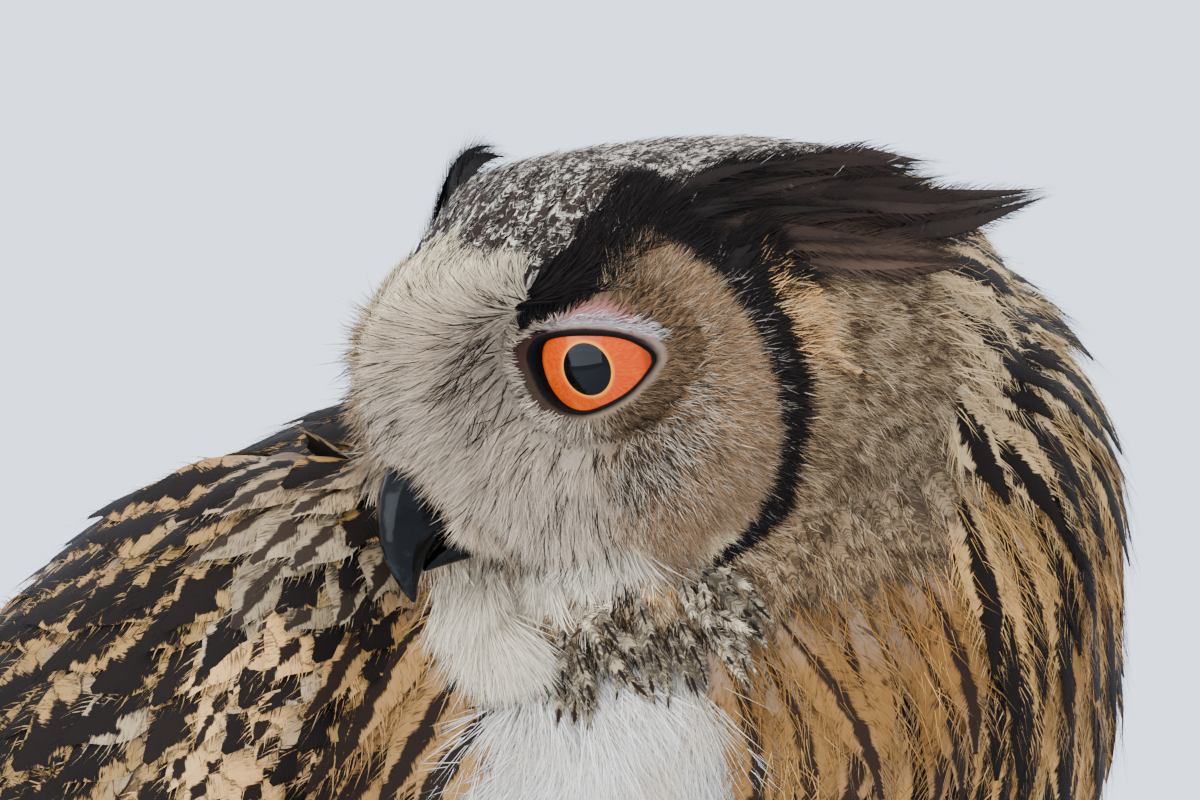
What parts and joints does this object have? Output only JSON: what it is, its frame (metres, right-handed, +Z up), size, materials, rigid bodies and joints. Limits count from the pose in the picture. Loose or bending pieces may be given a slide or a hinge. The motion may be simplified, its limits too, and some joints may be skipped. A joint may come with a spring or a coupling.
{
  "type": "eurasian eagle-owl figure",
  "caption": "Life-size standing eagle-owl, a still display figure with its head lowered and turned to one side.",
  "frame": {"origin": "on the floor, below the middle of the model's box", "axes": "+Z up, -Y the way the bird's body faces, +X the bird's left"},
  "size_m": [0.2644, 0.5024, 0.3982],
  "materials": {
    "plumage_buff": "soft streaked feathers of the neck, trunk and head",
    "plumage_wing": "barred and mottled brown flight feathers and coverts",
    "plumage_tuft": "black-brown ear tuft feathers",
    "plumage_leg": "short buff feathers of the legs and toes",
    "horn": "polished black horn of the bill and talons",
    "eye": "clear wet cornea over an orange iris and black pupil"
  },
  "bodies": {
    "root": {"bill_lower": "horn", "bill_upper": "horn", "ear_tuft_left": "plumage_tuft", "ear_tuft_right": "plumage_tuft", "eye_left": "eye", "eye_right": "eye", "head": "plumage_buff", "neck": "plumage_buff", "primaries_left": "plumage_wing", "primaries_right": "plumage_wing", "shank_left": "plumage_leg", "shank_right": "plumage_leg", "tail": "plumage_wing", "talon_hind_left": "horn", "talon_hind_right": "horn", "talon_inner_left": "horn", "talon_inner_right": "horn", "talon_middle_left": "horn", "talon_middle_right": "horn", "talon_outer_left": "horn", "talon_outer_right": "horn", "thigh_left": "plumage_leg", "thigh_right": "plumage_leg", "toe_hind_left": "plumage_leg", "toe_hind_right": "plumage_leg", "toe_inner_left": "plumage_leg", "toe_inner_right": "plumage_leg", "toe_middle_left": "plumage_leg", "toe_middle_right": "plumage_leg", "toe_outer_left": "plumage_leg", "toe_outer_right": "plumage_leg", "trunk": "plumage_buff", "wing_left": "plumage_wing", "wing_right": "plumage_wing"}
  },
  "joints": []
}
